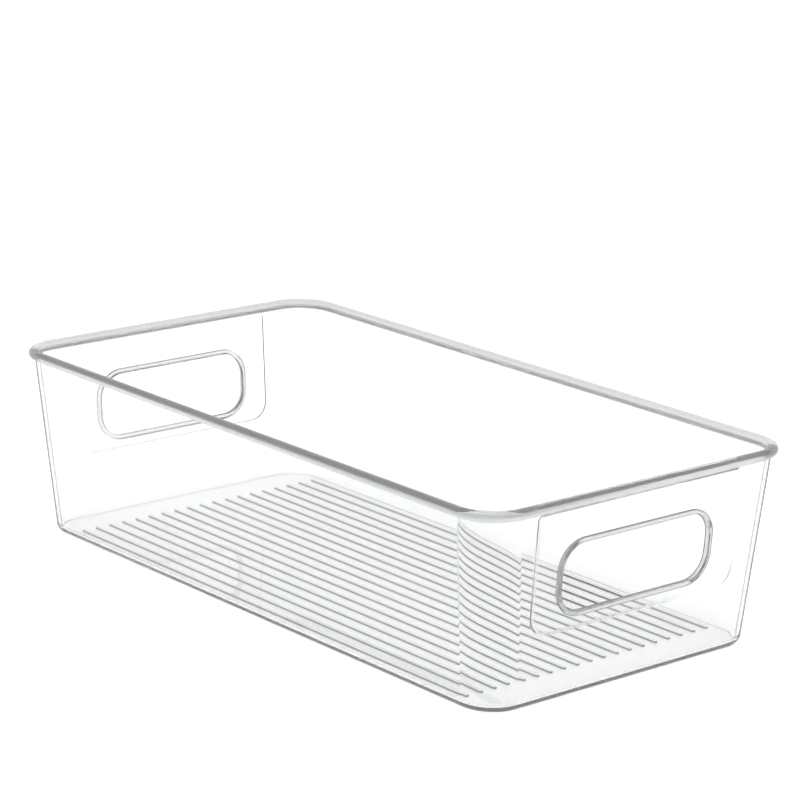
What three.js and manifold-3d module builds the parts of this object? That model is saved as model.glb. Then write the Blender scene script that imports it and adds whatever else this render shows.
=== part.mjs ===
// Clear moulded fridge bin, in millimetres, +Z up.
// X runs along the bin (a hand hole in each end), Y across it, and z = 0 is the surface it stands on.
// The real bin is one moulding, so each node here is one named section of that moulding:
// floor, ribs, walls, corners, recessed handle panels, hand-hole lips and rim rails.

import * as THREE from 'three';
import { mergeVertices } from 'three/addons/utils/BufferGeometryUtils.js';
import Module from 'manifold-3d';

const wasm = await Module();
wasm.setup();

// ---------- driving dimensions ----------
const rimLength = 380;
const rimWidth = 200;
const binHeight = 100;
const baseLength = 359;
const baseWidth = 174.3;
const wallThickness = 2;
const floorThickness = 2;
const baseCornerRadius = 19;
const topCornerRadius = 21;
const baseEdgeRadius = 3;
const innerEdgeRadius = 3;

const rimHeight = 5;
const rimOverhang = 3.3;
const mouthFlare = 0.4;
const mouthFlareHeight = 1.2;

const ribCount = 19;
const ribSpacing = 8.6;
const ribWidth = 2.4;
const ribHeight = 0.8;
const ribLength = 310;

const recessDepth = 0.5;
const recessWidth = 128;
const recessBottom = 35;
const recessCornerRadius = 10;

const holeWidth = 93.5;
const holeHeight = 33.5;
const holeCentre = 58.9;
const holeCornerRadius = 12.5;
const lipWidth = 2.6;
const lipProud = 0.4;
const lipDepth = 3.6;

const fitGap = 0.3;
const arcSegments = 8;
const edgeSteps = 4;

// ---------- sizes worked out from them ----------
const rimBottom = binHeight - rimHeight;
const topLength = rimLength - 2 * rimOverhang;
const topWidth = rimWidth - 2 * rimOverhang;
const floorInset = wallThickness + innerEdgeRadius;
const panelInnerDepth = recessDepth + wallThickness;
const endSplit = baseLength / 2 - baseCornerRadius;
const sideSplit = baseWidth / 2 - baseCornerRadius;
const far = rimLength;

// ---------- outlines and solids ----------

// The level outline of the wall's outer face at height z, moved in by inset.
function outlineAt(z, inset = 0) {
  const climb = z / rimBottom;
  return {
    z,
    halfX: THREE.MathUtils.lerp(baseLength, topLength, climb) / 2 - inset,
    halfY: THREE.MathUtils.lerp(baseWidth, topWidth, climb) / 2 - inset,
    radius: THREE.MathUtils.lerp(baseCornerRadius, topCornerRadius, climb) - inset,
  };
}

function roundedRectangle(halfX, halfY, radius) {
  const shape = new THREE.Shape();
  shape.moveTo(halfX, -halfY + radius);
  shape.lineTo(halfX, halfY - radius);
  shape.absarc(halfX - radius, halfY - radius, radius, 0, Math.PI / 2, false);
  shape.lineTo(-halfX + radius, halfY);
  shape.absarc(-halfX + radius, halfY - radius, radius, Math.PI / 2, Math.PI, false);
  shape.lineTo(-halfX, -halfY + radius);
  shape.absarc(-halfX + radius, -halfY + radius, radius, Math.PI, Math.PI * 1.5, false);
  shape.lineTo(halfX - radius, -halfY);
  shape.absarc(halfX - radius, -halfY + radius, radius, Math.PI * 1.5, Math.PI * 2, false);
  return shape;
}

// Moves one coordinate of a point on the outline "from" to the matching place on the outline "to".
function carry(value, halfFrom, radiusFrom, halfTo, radiusTo) {
  const centreFrom = halfFrom - radiusFrom;
  const centreTo = halfTo - radiusTo;
  const size = Math.abs(value);
  const beyond = size - centreFrom;
  const moved = beyond > 0
    ? centreTo + beyond * radiusTo / radiusFrom
    : size * centreTo / centreFrom;
  return Math.sign(value) * moved;
}

function toManifold(geometry) {
  const plain = geometry.clone();
  plain.deleteAttribute('normal');
  plain.deleteAttribute('uv');
  const merged = mergeVertices(plain, 1e-4);
  const mesh = new wasm.Mesh({
    numProp: 3,
    vertProperties: new Float32Array(merged.attributes.position.array),
    triVerts: new Uint32Array(merged.index.array),
  });
  return new wasm.Manifold(mesh);
}

// A closed body through a stack of level rounded-rectangle sections, lowest first.
function loft(sections) {
  const first = sections[0];
  const levels = sections.length - 1;
  const shape = roundedRectangle(first.halfX, first.halfY, first.radius);
  const geometry = new THREE.ExtrudeGeometry(shape, {
    depth: levels,
    steps: levels,
    bevelEnabled: false,
    curveSegments: arcSegments,
  });
  const place = geometry.attributes.position;
  for (let i = 0; i < place.count; i += 1) {
    const level = sections[Math.round(place.getZ(i))];
    const x = carry(place.getX(i), first.halfX, first.radius, level.halfX, level.radius);
    const y = carry(place.getY(i), first.halfY, first.radius, level.halfY, level.radius);
    place.setXYZ(i, x, y, level.z);
  }
  return toManifold(geometry);
}

function box(x0, x1, y0, y1, z0, z1) {
  const geometry = new THREE.BoxGeometry(x1 - x0, y1 - y0, z1 - z0);
  geometry.translate((x0 + x1) / 2, (y0 + y1) / 2, (z0 + z1) / 2);
  return toManifold(geometry);
}

// A bar along X whose outline is drawn across the bin: shape x is Y, shape y is Z.
function barAlongX(shape, x0, x1) {
  const geometry = new THREE.ExtrudeGeometry(shape, {
    depth: x1 - x0,
    bevelEnabled: false,
    curveSegments: arcSegments,
  });
  geometry.rotateX(Math.PI / 2);
  geometry.rotateZ(Math.PI / 2);
  geometry.translate(x0, 0, 0);
  return toManifold(geometry);
}

// Sections of a quarter-round bottom edge, then the drafted wall up to z = top.
function draftedSections(bottom, top, edgeRadius, inset) {
  const sections = [];
  for (let i = 0; i <= edgeSteps; i += 1) {
    const angle = (i / edgeSteps) * (Math.PI / 2);
    const z = bottom + edgeRadius * (1 - Math.cos(angle));
    sections.push(outlineAt(z, inset + edgeRadius * (1 - Math.sin(angle))));
  }
  sections.push(outlineAt(top, inset));
  return sections;
}

// ---------- the whole shell, then its sections ----------

function wallShell() {
  const outside = loft(draftedSections(0, rimBottom, baseEdgeRadius, 0));
  const inside = loft(draftedSections(floorThickness, binHeight, innerEdgeRadius, wallThickness));
  return outside.subtract(inside);
}

// The flat floor, out to where the inner edge starts to curve up. A gap makes the hole it fits in.
function floorBlock(gap) {
  const outline = outlineAt(0, floorInset - gap);
  return loft([
    { ...outline, z: gap > 0 ? -1 : 0 },
    { ...outline, z: floorThickness },
  ]);
}

// The layer of an end wall between two depths behind the drafted outer face.
function endLayer(shallow, deep) {
  const block = (inset) => loft([
    { ...outlineAt(0), halfX: baseLength / 2 - inset },
    { ...outlineAt(binHeight), halfX: outlineAt(binHeight).halfX - inset },
  ]);
  const layer = block(shallow).subtract(block(deep));
  return layer.intersect(box(endSplit - far / 4, far, -sideSplit - 10, sideSplit + 10, -1, binHeight));
}

// The recess seen from the end: straight sides that run up to the rim, rounded lower corners.
function recessShape(margin) {
  const half = recessWidth / 2 + margin;
  const bottom = recessBottom - margin;
  const radius = recessCornerRadius + margin;
  const shape = new THREE.Shape();
  shape.moveTo(half, binHeight + 1);
  shape.lineTo(-half, binHeight + 1);
  shape.lineTo(-half, bottom + radius);
  shape.absarc(-half + radius, bottom + radius, radius, Math.PI, Math.PI * 1.5, false);
  shape.lineTo(half - radius, bottom);
  shape.absarc(half - radius, bottom + radius, radius, Math.PI * 1.5, Math.PI * 2, false);
  return shape;
}

function recessBar(margin) {
  return barAlongX(recessShape(margin), endSplit, far);
}

function holeBar(margin) {
  const shape = roundedRectangle(
    holeWidth / 2 + margin,
    holeHeight / 2 + margin,
    holeCornerRadius + margin,
  );
  return barAlongX(shape, endSplit, far).translate([0, 0, holeCentre]);
}

function handlePanel() {
  const layer = endLayer(recessDepth, panelInnerDepth);
  const belowRim = box(endSplit, far, -far, far, 0, rimBottom);
  return layer.intersect(recessBar(-fitGap)).subtract(holeBar(lipWidth + fitGap)).intersect(belowRim);
}

function handleLip() {
  const layer = endLayer(recessDepth - lipProud, recessDepth - lipProud + lipDepth);
  return layer.intersect(holeBar(lipWidth).subtract(holeBar(0)));
}

// ---------- rim ----------

function rimOutline(z, inset) {
  return {
    z,
    halfX: rimLength / 2 - inset,
    halfY: rimWidth / 2 - inset,
    radius: topCornerRadius + rimOverhang - inset,
  };
}

// The rim is a half-round bead on the outside of the wall, level with it on top.
function rimRing() {
  const sections = [];
  const steps = 2 * edgeSteps;
  for (let i = 0; i <= steps; i += 1) {
    const angle = (i / steps - 0.5) * Math.PI;
    const z = rimBottom + (rimHeight / 2) * (1 + Math.sin(angle));
    sections.push(rimOutline(z, rimOverhang * (1 - Math.cos(angle))));
  }
  const mouth = loft([
    outlineAt(rimBottom - 1, wallThickness),
    outlineAt(binHeight - mouthFlareHeight, wallThickness),
    outlineAt(binHeight, wallThickness - mouthFlare),
    outlineAt(binHeight + 1, wallThickness - mouthFlare),
  ]);
  return loft(sections).subtract(mouth);
}

// ---------- ribs ----------

function floorRib(y) {
  const shape = roundedRectangle(ribLength / 2, ribWidth / 2, ribWidth / 2 - 0.01);
  const geometry = new THREE.ExtrudeGeometry(shape, {
    depth: ribHeight,
    bevelEnabled: false,
    curveSegments: 3,
  });
  geometry.translate(0, y, floorThickness);
  return toManifold(geometry);
}

// ---------- materials and nodes ----------

const finishes = {
  shell: { color: 0xe9eff0, roughness: 0.05 },
  rim: { color: 0xdfe6e8, roughness: 0.05 },
  lip: { color: 0xd8e0e3, roughness: 0.06 },
  ribs: { color: 0xe2e9ea, roughness: 0.08 },
};

const bin = new THREE.Group();

function addNode(name, solid, finish) {
  const data = solid.getMesh();
  const geometry = new THREE.BufferGeometry();
  geometry.setAttribute('position', new THREE.BufferAttribute(data.vertProperties, 3));
  geometry.setIndex(new THREE.BufferAttribute(data.triVerts, 1));
  const material = new THREE.MeshStandardMaterial({
    ...finishes[finish],
    metalness: 0,
    transparent: true,
    opacity: 0.4,
  });
  const mesh = new THREE.Mesh(geometry, material);
  mesh.name = name;
  bin.add(mesh);
}

// Cuts a ring of the bin into four straight runs and four corners, and adds each as a node.
function addRing(ring, finish, names) {
  const runs = [
    ['front', box(-endSplit, endSplit, -far, 0, -1, far)],
    ['back', box(-endSplit, endSplit, 0, far, -1, far)],
    ['right', box(0, far, -sideSplit, sideSplit, -1, far)],
    ['left', box(-far, 0, -sideSplit, sideSplit, -1, far)],
    ['front_right', box(endSplit, far, -far, -sideSplit, -1, far)],
    ['front_left', box(-far, -endSplit, -far, -sideSplit, -1, far)],
    ['back_right', box(endSplit, far, sideSplit, far, -1, far)],
    ['back_left', box(-far, -endSplit, sideSplit, far, -1, far)],
  ];
  for (const [place, region] of runs) {
    addNode(names(place), ring.intersect(region), finish);
  }
}

function addWalls() {
  const ends = recessBar(0);
  const openings = ends.add(ends.mirror([1, 0, 0]));
  const ring = wallShell().subtract(floorBlock(fitGap)).subtract(openings);
  const names = {
    front: 'long_wall_front',
    back: 'long_wall_back',
    right: 'end_wall_right',
    left: 'end_wall_left',
  };
  addRing(ring, 'shell', (place) => names[place] ?? `corner_${place}`);
}

function addHandles() {
  const panel = handlePanel();
  const lip = handleLip();
  addNode('handle_panel_right', panel, 'shell');
  addNode('handle_panel_left', panel.mirror([1, 0, 0]), 'shell');
  addNode('handle_lip_right', lip, 'lip');
  addNode('handle_lip_left', lip.mirror([1, 0, 0]), 'lip');
}

function addRibs() {
  for (let i = 0; i < ribCount; i += 1) {
    const number = String(i + 1).padStart(2, '0');
    const y = (i - (ribCount - 1) / 2) * ribSpacing;
    addNode(`floor_rib_${number}`, floorRib(y), 'ribs');
  }
}

addNode('floor_panel', floorBlock(0), 'shell');
addRibs();
addWalls();
addHandles();
addRing(rimRing(), 'rim', (place) => (place.includes('_') ? `rim_corner_${place}` : `rim_rail_${place}`));

export default bin;
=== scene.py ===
"""Clear moulded fridge bin, shown empty on a pale studio floor.

The bin is one injection moulding in clear plastic. It is built here as named sections: the shell (floor,
walls, corners and recessed handle panels), the rim, two hand-hole lips and the floor ribs.
Lengths are in millimetres until a vertex is made, because the bin is sized in millimetres.
X runs along the bin, Y across it and Z up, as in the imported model.
"""

import math

import bmesh
import bpy
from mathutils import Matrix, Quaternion, Vector


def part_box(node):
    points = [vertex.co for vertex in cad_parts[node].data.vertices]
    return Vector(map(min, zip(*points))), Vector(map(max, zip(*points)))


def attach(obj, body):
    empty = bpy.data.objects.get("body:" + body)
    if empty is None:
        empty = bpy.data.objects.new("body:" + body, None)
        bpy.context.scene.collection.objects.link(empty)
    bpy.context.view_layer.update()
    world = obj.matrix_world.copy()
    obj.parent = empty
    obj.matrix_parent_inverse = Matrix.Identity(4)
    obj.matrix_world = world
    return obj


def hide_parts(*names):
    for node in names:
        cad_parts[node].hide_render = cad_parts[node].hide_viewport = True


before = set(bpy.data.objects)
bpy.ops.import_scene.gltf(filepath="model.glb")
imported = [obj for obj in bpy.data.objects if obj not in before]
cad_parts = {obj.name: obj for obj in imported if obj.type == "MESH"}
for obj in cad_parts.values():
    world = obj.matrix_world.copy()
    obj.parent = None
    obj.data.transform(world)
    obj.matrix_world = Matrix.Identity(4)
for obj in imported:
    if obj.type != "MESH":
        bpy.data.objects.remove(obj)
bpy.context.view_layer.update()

MM = 0.001


def box_mm(node):
    low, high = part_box(node)
    return low / MM, high / MM


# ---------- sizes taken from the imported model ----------
RAIL_LOW, RAIL_HIGH = box_mm("rim_rail_right")
RIM_HALF_X = RAIL_HIGH.x
RIM_HALF_Y = box_mm("rim_rail_back")[1].y
BIN_HEIGHT = RAIL_HIGH.z
RIM_BOTTOM = RAIL_LOW.z
FLOOR_TOP = box_mm("floor_panel")[1].z
WALL_TOP_HALF_X = box_mm("corner_back_right")[1].x
WALL_TOP_HALF_Y = box_mm("corner_back_right")[1].y
LIP_LOW, LIP_HIGH = box_mm("handle_lip_right")
RIB_NODES = sorted(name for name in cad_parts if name.startswith("floor_rib_"))

# ---------- shape details that a bounding box can't give ----------
BASE_HALF_X = 179.5
BASE_HALF_Y = 87.15
BASE_CORNER_RADIUS = 19.0
TOP_CORNER_RADIUS = 21.0
WALL = 2.0
BASE_EDGE_RADIUS = 3.0
INNER_EDGE_RADIUS = 3.0
JOINT_HEIGHT = RIM_BOTTOM - 0.4

RIM_OVERHANG = RIM_HALF_X - WALL_TOP_HALF_X
RIM_MOUTH_RADIUS = 0.8
RIM_ROOT_RADIUS = 0.35

RECESS_DEPTH = 0.5
RECESS_HALF_WIDTH = 64.0
RECESS_BOTTOM = 35.0
RECESS_TOP = JOINT_HEIGHT - 1.6
RECESS_LOWER_RADIUS = 10.0
RECESS_UPPER_RADIUS = 1.5
STEP_HALF_WIDTH = 0.7

LIP_WIDTH = 2.6
LIP_PROUD = 0.4
LIP_DEPTH = 3.6
LIP_OVERLAP = 0.15
LIP_FRONT_RADIUS = LIP_WIDTH / 2
LIP_BACK_RADIUS = 0.8
HOLE_HALF_WIDTH = LIP_HIGH.y - LIP_WIDTH
HOLE_CENTRE = (LIP_LOW.z + LIP_HIGH.z) / 2
HOLE_HALF_HEIGHT = (LIP_HIGH.z - LIP_LOW.z) / 2 - LIP_WIDTH
HOLE_RADIUS = 12.5

RIB_SUNK = 0.15
RIB_EDGE_RADIUS = 0.35

# ---------- how finely curves are divided ----------
CORNER_STEPS = 28
EDGE_STEPS = 8
PANEL_STEPS = 12
CREASE_DEGREES = 32
MERGE_DISTANCE = 0.0001

# ---------- material slots of the shell, the rim and the ribs ----------
JOINT_SLOT = 1
RIB_SIDE_SLOT = 1
CORNER_SLOT = 2

# ---------- plastic ----------
REFRACTIVE_INDEX = 1.49
# Clear plastic is painted grey where it is seen almost edge on: partly the real loss of light over the
# longer path through it, and partly painted shade for the dark surroundings that edge-on faces reflect.
PAINTED_EDGE_SHADE = (0.26, 0.27, 0.285)
# Each bounce of light that is trapped inside the plastic loses a little, as it does over a longer path.
TRAPPED_TINT = (0.94, 0.945, 0.95)
TINT_NOISE_SCALE = 9
SCUFF_NOISE_SCALE = 60
SCUFF_STRETCH = (0.25, 1, 1)
WAVE_NOISE_SCALE = 35

# ---------- studio ----------
# The floor's half size and the camera's distance and aim are in metres, and angles are in degrees.
FLOOR_HALF_SIZE = 8.0
FLOOR_DROP = 0.02
FLOOR_GLOW = 0.57
PAPER_SHADES = (0.93, 0.95)
PAPER_NOISE_SCALE = 3
# (height of the direction, brightness): up to 0 is the horizon and below, and 1 is straight up.
SKY_STOPS = ((0.0, 1.05), (0.42, 1.05), (0.55, 0.30), (0.88, 0.30), (0.95, 2.4), (1.0, 2.4))

CAMERA_AZIMUTH = 49.748
CAMERA_ELEVATION = 15.456
CAMERA_ROLL = 1.089
CAMERA_DISTANCE = 1.6023
CAMERA_AIM = (-0.0142, 0.0214, 0.0893)
CAMERA_LENS = 140.83
CAMERA_SENSOR = 36

LIGHT_BOUNCES = 24
GLOSSY_BOUNCES = 12


# ---------- mesh helpers ----------


def add_loop(bm, points):
    """Vertices at these points, which are in millimetres."""
    return [bm.verts.new(Vector(point) * MM) for point in points]


def bridge(bm, first, second, material=0, leave_out=()):
    """Quads between two closed loops of the same length."""
    count = len(first)
    for i in range(count):
        if i in leave_out:
            continue
        j = (i + 1) % count
        face = bm.faces.new((first[i], first[j], second[j], second[i]))
        face.material_index = material


def rounded_corners(half_x, half_y, radii, steps):
    """Points round a rounded rectangle, anticlockwise from its lower left corner, in two dimensions."""
    quarters = ((-1, -1, 180), (1, -1, 270), (1, 1, 0), (-1, 1, 90))
    points = []
    for (side_x, side_y, start), radius in zip(quarters, radii):
        for step in range(steps + 1):
            angle = math.radians(start + 90 * step / steps)
            x = side_x * (half_x - radius) + radius * math.cos(angle)
            y = side_y * (half_y - radius) + radius * math.sin(angle)
            points.append((x, y))
    return points


def arc(centre, radius, start, end, steps=EDGE_STEPS):
    """Points of an arc in a section plane, from one angle in degrees to another."""
    points = []
    for step in range(steps + 1):
        angle = math.radians(start + (end - start) * step / steps)
        points.append((centre[0] + radius * math.cos(angle), centre[1] + radius * math.sin(angle)))
    return points


def finish_piece(bm, name, materials, nodes):
    """Turns the bmesh into a smooth-shaded piece that rides on the bin and stands for these CAD nodes."""
    bmesh.ops.remove_doubles(bm, verts=bm.verts, dist=MERGE_DISTANCE * MM)
    mesh = bpy.data.meshes.new(name)
    bm.to_mesh(mesh)
    bm.free()
    for material in materials:
        mesh.materials.append(material)
    mesh.shade_smooth()
    mesh.set_sharp_from_angle(angle=math.radians(CREASE_DEGREES))
    piece = bpy.data.objects.new(name, mesh)
    bpy.context.scene.collection.objects.link(piece)
    weighted = piece.modifiers.new("flat_faces_stay_flat", "WEIGHTED_NORMAL")
    weighted.keep_sharp = True
    weighted.weight = 100
    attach(piece, "root")
    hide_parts(*nodes)


# ---------- outlines of the bin ----------


def wall_outline(z, inset):
    """The wall's level outline at height z, moved in by inset. The walls lean out from base to rim."""
    climb = z / RIM_BOTTOM
    half_x = BASE_HALF_X + (WALL_TOP_HALF_X - BASE_HALF_X) * climb - inset
    half_y = BASE_HALF_Y + (WALL_TOP_HALF_Y - BASE_HALF_Y) * climb - inset
    radius = BASE_CORNER_RADIUS + (TOP_CORNER_RADIUS - BASE_CORNER_RADIUS) * climb - inset
    return [(x, y, z) for x, y in rounded_corners(half_x, half_y, [radius] * 4, CORNER_STEPS)]


def rim_outline(z, inset):
    """The level outline of the rim's widest reach at height z, moved in by inset."""
    radius = TOP_CORNER_RADIUS + RIM_OVERHANG - inset
    corners = rounded_corners(RIM_HALF_X - inset, RIM_HALF_Y - inset, [radius] * 4, CORNER_STEPS)
    return [(x, y, z) for x, y in corners]


def on_end_wall(points, depth, side):
    """Points (y, z) put at a depth behind the leaning outer face of the end wall on that side."""
    placed = []
    for y, z in points:
        face_x = BASE_HALF_X + (WALL_TOP_HALF_X - BASE_HALF_X) * z / RIM_BOTTOM
        placed.append((side * (face_x - depth), side * y, z))
    return placed


def recess_outline(margin, depth, side):
    """The recess round a hand hole, grown by margin."""
    low = RECESS_BOTTOM - margin
    high = RECESS_TOP + margin
    lower = RECESS_LOWER_RADIUS + margin
    upper = RECESS_UPPER_RADIUS + margin
    flat = rounded_corners(
        RECESS_HALF_WIDTH + margin, (high - low) / 2, [lower, lower, upper, upper], PANEL_STEPS
    )
    return on_end_wall([(y, z + (low + high) / 2) for y, z in flat], depth, side)


def hole_outline(margin, depth, side):
    """The hand hole, grown by margin."""
    radius = HOLE_RADIUS + margin
    flat = rounded_corners(
        HOLE_HALF_WIDTH + margin, HOLE_HALF_HEIGHT + margin, [radius] * 4, PANEL_STEPS
    )
    return on_end_wall([(y, z + HOLE_CENTRE) for y, z in flat], depth, side)


# ---------- shell ----------


def frame_faces(bm, corners, loop, facing_out):
    """Four flat faces between a four-cornered opening and a rounded loop inside it."""
    per_corner = len(loop) // 4
    middles = [k * per_corner + per_corner // 2 for k in range(4)]
    for k in range(4):
        start = middles[k]
        end = middles[(k + 1) % 4] + (len(loop) if k == 3 else 0)
        inner = [loop[i % len(loop)] for i in range(start, end + 1)]
        outer = [corners[(k + 1) % 4], corners[k]]
        ring = outer + inner
        bm.faces.new(list(reversed(ring)) if facing_out else ring)


def step_profile(from_margin, from_depth, to_margin, to_depth):
    """A soft S-shaped step between two flat levels, as (margin, depth) pairs."""
    profile = []
    for step in range(EDGE_STEPS + 1):
        share = step / EDGE_STEPS
        eased = share * share * (3 - 2 * share)
        profile.append((
            from_margin + (to_margin - from_margin) * share,
            from_depth + (to_depth - from_depth) * eased,
        ))
    return profile


def end_panel(bm, outer_corners, inner_corners, side):
    """The recessed panel with its hand hole, between the outer and inner faces of an end wall."""
    outer_step = step_profile(STEP_HALF_WIDTH, 0, -STEP_HALF_WIDTH, RECESS_DEPTH)
    inner_step = step_profile(0, RECESS_DEPTH + WALL, 2 * STEP_HALF_WIDTH, WALL)
    hole_margin = LIP_WIDTH - LIP_OVERLAP
    loops = [recess_outline(margin, depth, side) for margin, depth in outer_step]
    loops.append(hole_outline(hole_margin, RECESS_DEPTH, side))
    loops.append(hole_outline(hole_margin, RECESS_DEPTH + WALL, side))
    loops += [recess_outline(margin, depth, side) for margin, depth in inner_step]
    made = [add_loop(bm, loop) for loop in loops]
    frame_faces(bm, outer_corners, made[0], facing_out=True)
    for first, second in zip(made, made[1:]):
        bridge(bm, first, second)
    frame_faces(bm, inner_corners, made[-1], facing_out=False)


def shell_loops():
    """(z, inset) of the level loops: up the outside from the base, and down the inside to the floor."""
    outside = [
        (BASE_EDGE_RADIUS - height, BASE_EDGE_RADIUS - reach)
        for height, reach in arc((0, 0), BASE_EDGE_RADIUS, 0, 90)
    ]
    inside = [
        (FLOOR_TOP + INNER_EDGE_RADIUS - height, WALL + INNER_EDGE_RADIUS - reach)
        for height, reach in arc((0, 0), INNER_EDGE_RADIUS, 90, 0)
    ]
    return outside + [(JOINT_HEIGHT, 0)], [(JOINT_HEIGHT, WALL)] + inside


def mark_corners(bm):
    """Gives the four curved wall corners their own material, which paints more grey shade where they turn
    edge on.
    """
    straight_x = BASE_HALF_X - BASE_CORNER_RADIUS
    straight_y = BASE_HALF_Y - BASE_CORNER_RADIUS
    for face in bm.faces:
        middle = face.calc_center_median() / MM
        at_corner = abs(middle.x) > straight_x and abs(middle.y) > straight_y
        on_wall = BASE_EDGE_RADIUS < middle.z < JOINT_HEIGHT - 1
        if at_corner and on_wall:
            face.material_index = CORNER_SLOT


def make_shell(plastic, joint, corner_edge_shade_plastic):
    """Floor, walls and corners in one surface, with a handle panel let into each end wall."""
    bm = bmesh.new()
    outside, inside = shell_loops()
    outer = [add_loop(bm, wall_outline(z, inset)) for z, inset in outside]
    inner = [add_loop(bm, wall_outline(z, inset)) for z, inset in inside]
    per_corner = CORNER_STEPS + 1
    end_runs = {1: 2 * per_corner - 1, -1: 4 * per_corner - 1}
    bm.faces.new(list(reversed(outer[0])))
    for first, second in zip(outer, outer[1:]):
        leave_out = end_runs.values() if second is outer[-1] else ()
        bridge(bm, first, second, leave_out=leave_out)
    bridge(bm, outer[-1], inner[0], material=JOINT_SLOT)
    for first, second in zip(inner, inner[1:]):
        leave_out = end_runs.values() if first is inner[0] else ()
        bridge(bm, first, second, leave_out=leave_out)
    bm.faces.new(inner[-1])
    for side, run in end_runs.items():
        after = (run + 1) % (4 * per_corner)
        outer_corners = [outer[-2][run], outer[-2][after], outer[-1][after], outer[-1][run]]
        inner_corners = [inner[1][run], inner[1][after], inner[0][after], inner[0][run]]
        end_panel(bm, outer_corners, inner_corners, side)
    mark_corners(bm)
    walls = ["long_wall_front", "long_wall_back", "end_wall_right", "end_wall_left"]
    corners = [f"corner_{y}_{x}" for y in ("front", "back") for x in ("right", "left")]
    panels = ["handle_panel_right", "handle_panel_left"]
    nodes = ["floor_panel", *walls, *corners, *panels]
    finish_piece(bm, "bin_shell", [plastic, joint, corner_edge_shade_plastic], nodes)


# ---------- rim ----------


def rim_section():
    """Level loops round the rim's section: a half-round bead outside, and the wall's softened mouth."""
    root = [
        wall_outline(RIM_BOTTOM - RIM_ROOT_RADIUS + rise, -RIM_ROOT_RADIUS + reach)
        for reach, rise in arc((0, 0), RIM_ROOT_RADIUS, 0, 90)
    ]
    half_height = (BIN_HEIGHT - RIM_BOTTOM) / 2
    meets_root = -math.degrees(math.acos(RIM_ROOT_RADIUS / RIM_OVERHANG))
    bead = [
        rim_outline(RIM_BOTTOM + half_height * (1 + rise), RIM_OVERHANG * (1 - reach))
        for reach, rise in arc((0, 0), 1, meets_root, 90, 2 * EDGE_STEPS)
    ]
    mouth = [
        wall_outline(BIN_HEIGHT - RIM_MOUTH_RADIUS + rise, WALL - RIM_MOUTH_RADIUS - reach)
        for reach, rise in arc((0, 0), RIM_MOUTH_RADIUS, 90, 180)
    ]
    joint = [wall_outline(JOINT_HEIGHT, WALL), wall_outline(JOINT_HEIGHT, 0)]
    return root[:-1] + bead + mouth + joint


def make_rim(plastic, joint):
    bm = bmesh.new()
    loops = [add_loop(bm, loop) for loop in rim_section()]
    for index, loop in enumerate(loops):
        after = loops[(index + 1) % len(loops)]
        bridge(bm, loop, after, material=JOINT_SLOT if index == len(loops) - 2 else 0)
    rails = [f"rim_rail_{place}" for place in ("front", "back", "right", "left")]
    corners = [f"rim_corner_{y}_{x}" for y in ("front", "back") for x in ("right", "left")]
    finish_piece(bm, "rim", [plastic, joint], [*rails, *corners])


# ---------- hand-hole lips ----------


def lip_section():
    """(margin, depth) round the lip's section: across its rounded front, then round its back."""
    front = RECESS_DEPTH - LIP_PROUD
    back = front + LIP_DEPTH
    soft = LIP_FRONT_RADIUS
    small = LIP_BACK_RADIUS
    section = arc((soft, front + soft), soft, 180, 270)
    section += arc((LIP_WIDTH - soft, front + soft), soft, 270, 360)
    section += arc((LIP_WIDTH - small, back - small), small, 0, 90)
    section += arc((small, back - small), small, 90, 180)
    return section


def make_lip(name, node, side, plastic):
    bm = bmesh.new()
    loops = [add_loop(bm, hole_outline(margin, depth, side)) for margin, depth in lip_section()]
    for index, loop in enumerate(loops):
        bridge(bm, loops[(index + 1) % len(loops)], loop)
    finish_piece(bm, name, [plastic], [node])


# ---------- floor ribs ----------


def make_rib(node, plastic, side_painted_shade_plastic):
    """A low rib with rounded ends and softened top edges, sunk a little into the floor it grows from."""
    low, high = box_mm(node)
    half_length = (high.x - low.x) / 2
    half_width = (high.y - low.y) / 2
    middle = (low.y + high.y) / 2
    levels = [(low.z - RIB_SUNK, 0.0)]
    for reach, rise in arc((0, 0), RIB_EDGE_RADIUS, 0, 90):
        levels.append((high.z - RIB_EDGE_RADIUS + rise, RIB_EDGE_RADIUS - reach))
    bm = bmesh.new()
    loops = []
    for z, inset in levels:
        end_radius = half_width - inset
        outline = rounded_corners(half_length - inset, half_width - inset, [end_radius] * 4, EDGE_STEPS)
        loops.append(add_loop(bm, [(x, y + middle, z) for x, y in outline]))
    bm.faces.new(list(reversed(loops[0])))
    # The side and the lower half of the top edge take the side material, which is painted dark grey as
    # shade.
    for index, (first, second) in enumerate(zip(loops, loops[1:])):
        bridge(bm, first, second, material=RIB_SIDE_SLOT if index <= EDGE_STEPS // 2 else 0)
    bm.faces.new(loops[-1])
    finish_piece(bm, node.replace("floor_rib", "rib"), [plastic, side_painted_shade_plastic], [node])


# ---------- materials ----------


def new_material(name):
    material = bpy.data.materials.new(name)
    material.use_nodes = True
    nodes = material.node_tree.nodes
    nodes.clear()
    output = nodes.new("ShaderNodeOutputMaterial")
    return material, nodes, material.node_tree.links, output


def add_noise(nodes, links, scale, detail, stretch=(1, 1, 1)):
    """Noise in the part's own metres, optionally stretched along an axis."""
    place = nodes.new("ShaderNodeTexCoord")
    mapping = nodes.new("ShaderNodeMapping")
    mapping.inputs["Scale"].default_value = stretch
    noise = nodes.new("ShaderNodeTexNoise")
    noise.inputs["Scale"].default_value = scale
    noise.inputs["Detail"].default_value = detail
    links.new(place.outputs["Object"], mapping.inputs["Vector"])
    links.new(mapping.outputs["Vector"], noise.inputs["Vector"])
    return noise.outputs["Fac"]


def map_range(nodes, links, value, low, high, from_low=0.3, from_high=0.7):
    span = nodes.new("ShaderNodeMapRange")
    span.inputs["From Min"].default_value = from_low
    span.inputs["From Max"].default_value = from_high
    span.inputs["To Min"].default_value = low
    span.inputs["To Max"].default_value = high
    links.new(value, span.inputs["Value"])
    return span.outputs["Result"]


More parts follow.
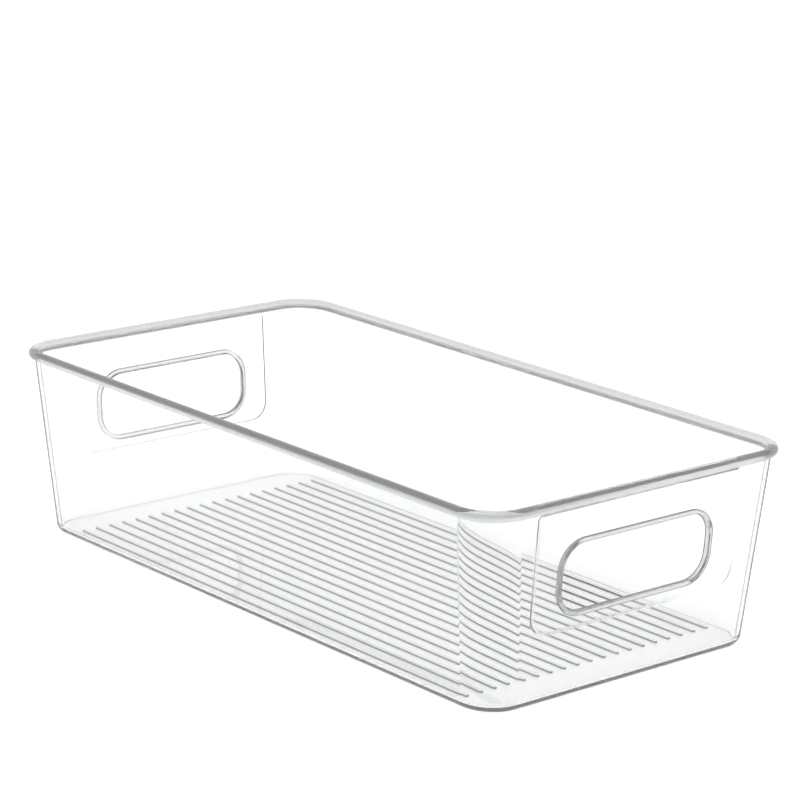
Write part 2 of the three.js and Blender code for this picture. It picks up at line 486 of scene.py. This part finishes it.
def clear_plastic(name, tint_and_painted_shade, deeper_tint_and_painted_shade, clarity, edge_span, haze, wave):
    """Polished clear plastic: faint tint drift, painted grey shade where it is seen edge on, uneven gloss
    and soft moulding waves.

    clarity is the share of light that passes instead of scattering, edge_span is where the painted grey
    shade starts and where it is full (0 is face on, 1 is edge on), haze is the roughest the gloss gets,
    and wave is in millimetres. The two base colours are the ends of the tone drift; where they are grey,
    as on the rim, lips and rib sides, they are painted shade.
    """
    material, nodes, links, output = new_material(name)
    shader = nodes.new("ShaderNodeBsdfPrincipled")
    shader.inputs["IOR"].default_value = REFRACTIVE_INDEX
    shader.inputs["Transmission Weight"].default_value = clarity
    shader.inputs["Specular Tint"].default_value = (*TRAPPED_TINT, 1)
    drift = nodes.new("ShaderNodeMix")
    drift.data_type = "RGBA"
    drift.inputs["A"].default_value = (*tint_and_painted_shade, 1)
    drift.inputs["B"].default_value = (*deeper_tint_and_painted_shade, 1)
    links.new(add_noise(nodes, links, TINT_NOISE_SCALE, 2), drift.inputs["Factor"])
    links.new(drift.outputs["Result"], shader.inputs["Base Color"])
    scuffs = add_noise(nodes, links, SCUFF_NOISE_SCALE, 4, SCUFF_STRETCH)
    links.new(map_range(nodes, links, scuffs, 0.0, haze), shader.inputs["Roughness"])
    bump = nodes.new("ShaderNodeBump")
    bump.inputs["Strength"].default_value = 1.0
    bump.inputs["Distance"].default_value = wave * MM
    links.new(add_noise(nodes, links, WAVE_NOISE_SCALE, 1), bump.inputs["Height"])
    links.new(bump.outputs["Normal"], shader.inputs["Normal"])
    # Painted shade: a dark grey diffuse is mixed in as the surface turns edge on.
    grazing = nodes.new("ShaderNodeLayerWeight")
    grazing.inputs["Blend"].default_value = 0.5
    painted_edge_shade_mask = map_range(nodes, links, grazing.outputs["Facing"], 0, 1, *edge_span)
    edge_shade_bsdf = nodes.new("ShaderNodeBsdfDiffuse")
    edge_shade_bsdf.inputs["Color"].default_value = (*PAINTED_EDGE_SHADE, 1)
    surface = nodes.new("ShaderNodeMixShader")
    links.new(painted_edge_shade_mask, surface.inputs["Fac"])
    links.new(shader.outputs["BSDF"], surface.inputs[1])
    links.new(edge_shade_bsdf.outputs["BSDF"], surface.inputs[2])
    links.new(surface.outputs["Shader"], output.inputs["Surface"])
    return material


def moulded_joint():
    """Where two sections of the one moulding meet there is no surface, so light passes straight on."""
    material, nodes, links, output = new_material("moulded_joint")
    through = nodes.new("ShaderNodeBsdfTransparent")
    links.new(through.outputs["BSDF"], output.inputs["Surface"])
    return material


def studio_white():
    """Matt white paper, faintly uneven, with a little glow of its own, as a lit table has."""
    material, nodes, links, output = new_material("studio_white")
    shader = nodes.new("ShaderNodeBsdfPrincipled")
    paper = map_range(nodes, links, add_noise(nodes, links, PAPER_NOISE_SCALE, 2), *PAPER_SHADES)
    tone = nodes.new("ShaderNodeCombineColor")
    for channel in ("Red", "Green", "Blue"):
        links.new(paper, tone.inputs[channel])
    links.new(tone.outputs["Color"], shader.inputs["Base Color"])
    shader.inputs["Roughness"].default_value = 0.9
    shader.inputs["Specular IOR Level"].default_value = 0.1
    shader.inputs["Emission Color"].default_value = (1, 1, 1, 1)
    shader.inputs["Emission Strength"].default_value = FLOOR_GLOW
    links.new(shader.outputs["BSDF"], output.inputs["Surface"])
    return material


# ---------- stage, light and camera ----------


def make_floor():
    """A wide level floor, a hair below the bin so that the two surfaces don't share a plane."""
    bm = bmesh.new()
    bmesh.ops.create_grid(bm, x_segments=8, y_segments=8, size=FLOOR_HALF_SIZE)
    mesh = bpy.data.meshes.new("studio_floor")
    bm.to_mesh(mesh)
    bm.free()
    mesh.materials.append(studio_white())
    floor = bpy.data.objects.new("studio_floor", mesh)
    floor.location.z = -FLOOR_DROP * MM
    bpy.context.scene.collection.objects.link(floor)


def make_sky():
    """White up to well above the horizon, a greyer dome over it, and a soft bright patch overhead."""
    world = bpy.data.worlds.new("studio_dome")
    bpy.context.scene.world = world
    world.use_nodes = True
    nodes = world.node_tree.nodes
    links = world.node_tree.links
    nodes.clear()
    direction = nodes.new("ShaderNodeTexCoord")
    split = nodes.new("ShaderNodeSeparateXYZ")
    ramp = nodes.new("ShaderNodeValToRGB")
    background = nodes.new("ShaderNodeBackground")
    output = nodes.new("ShaderNodeOutputWorld")
    stops = ramp.color_ramp.elements
    stops.remove(stops[1])
    for index, (height, tone) in enumerate(SKY_STOPS):
        stop = stops.new(height) if index else stops[0]
        stop.position = height
        stop.color = (tone, tone, tone, 1)
    links.new(direction.outputs["Generated"], split.inputs["Vector"])
    links.new(split.outputs["Z"], ramp.inputs["Fac"])
    links.new(ramp.outputs["Color"], background.inputs["Color"])
    links.new(background.outputs["Background"], output.inputs["Surface"])


def make_camera():
    """A long lens looking down at the bin's near right corner."""
    azimuth = math.radians(CAMERA_AZIMUTH)
    elevation = math.radians(CAMERA_ELEVATION)
    back = Vector((
        math.sin(azimuth) * math.cos(elevation),
        -math.cos(azimuth) * math.cos(elevation),
        math.sin(elevation),
    ))
    data = bpy.data.cameras.new("camera")
    data.sensor_width = CAMERA_SENSOR
    data.lens = CAMERA_LENS
    camera = bpy.data.objects.new("camera", data)
    camera.rotation_mode = "QUATERNION"
    camera.location = Vector(CAMERA_AIM) + back * CAMERA_DISTANCE
    level = (-back).to_track_quat("-Z", "Y")
    camera.rotation_quaternion = level @ Quaternion((0, 0, 1), math.radians(CAMERA_ROLL))
    bpy.context.scene.collection.objects.link(camera)
    bpy.context.scene.camera = camera


def set_light_paths():
    """Enough bounces for light that is guided along inside the clear walls."""
    scene = bpy.context.scene
    scene.view_settings.view_transform = "Standard"
    scene.cycles.max_bounces = LIGHT_BOUNCES
    scene.cycles.transmission_bounces = LIGHT_BOUNCES
    scene.cycles.glossy_bounces = GLOSSY_BOUNCES
    scene.cycles.transparent_max_bounces = LIGHT_BOUNCES


# ---------- the bin ----------

make_camera()
make_sky()
make_floor()
set_light_paths()

shell_plastic = clear_plastic(
    "clear_shell",
    tint_and_painted_shade=(0.985, 0.99, 0.99),
    deeper_tint_and_painted_shade=(0.975, 0.982, 0.982),
    clarity=0.94,
    edge_span=(0.90, 1.0),
    haze=0.03,
    wave=0.005,
)
# The corners are the same plastic with more painted grey shade where they turn edge on, to draw their
# silhouette lines.
corner_edge_shade_plastic = clear_plastic(
    "clear_corner_edge_shade",
    tint_and_painted_shade=(0.985, 0.99, 0.99),
    deeper_tint_and_painted_shade=(0.975, 0.982, 0.982),
    clarity=0.94,
    edge_span=(0.68, 0.82),
    haze=0.03,
    wave=0.005,
)
# The rim is the same plastic given a grey base colour and less clarity: painted shade and painted
# reflection of grey surroundings, for the grey band along the bead.
rim_painted_shade_plastic = clear_plastic(
    "clear_rim_painted_shade",
    tint_and_painted_shade=(0.74, 0.75, 0.76),
    deeper_tint_and_painted_shade=(0.70, 0.71, 0.72),
    clarity=0.78,
    edge_span=(0.78, 1.0),
    haze=0.04,
    wave=0.003,
)
# The lips are the same plastic given a grey base colour and grey from nearly face on: painted shade for
# the grey bands round the hand holes.
lip_painted_shade_plastic = clear_plastic(
    "clear_lip_painted_shade",
    tint_and_painted_shade=(0.76, 0.77, 0.78),
    deeper_tint_and_painted_shade=(0.71, 0.72, 0.73),
    clarity=0.92,
    edge_span=(0.32, 0.95),
    haze=0.04,
    wave=0.003,
)
rib_plastic = clear_plastic(
    "clear_rib",
    tint_and_painted_shade=(0.98, 0.985, 0.984),
    deeper_tint_and_painted_shade=(0.965, 0.974, 0.973),
    clarity=0.97,
    edge_span=(0.88, 1.0),
    haze=0.04,
    wave=0.003,
)
# The rib sides are the same plastic painted dark grey and made far less clear: painted shade that draws
# each rib as two dark lines.
rib_side_painted_shade_plastic = clear_plastic(
    "clear_rib_side_painted_shade",
    tint_and_painted_shade=(0.40, 0.395, 0.40),
    deeper_tint_and_painted_shade=(0.36, 0.355, 0.36),
    clarity=0.55,
    edge_span=(0.88, 1.0),
    haze=0.04,
    wave=0.003,
)
joint_faces = moulded_joint()

make_shell(shell_plastic, joint_faces, corner_edge_shade_plastic)
make_rim(rim_painted_shade_plastic, joint_faces)
for place, side in (("right", 1), ("left", -1)):
    make_lip(f"hand_hole_lip_{place}", f"handle_lip_{place}", side, lip_painted_shade_plastic)
for rib_node in RIB_NODES:
    make_rib(rib_node, rib_plastic, rib_side_painted_shade_plastic)
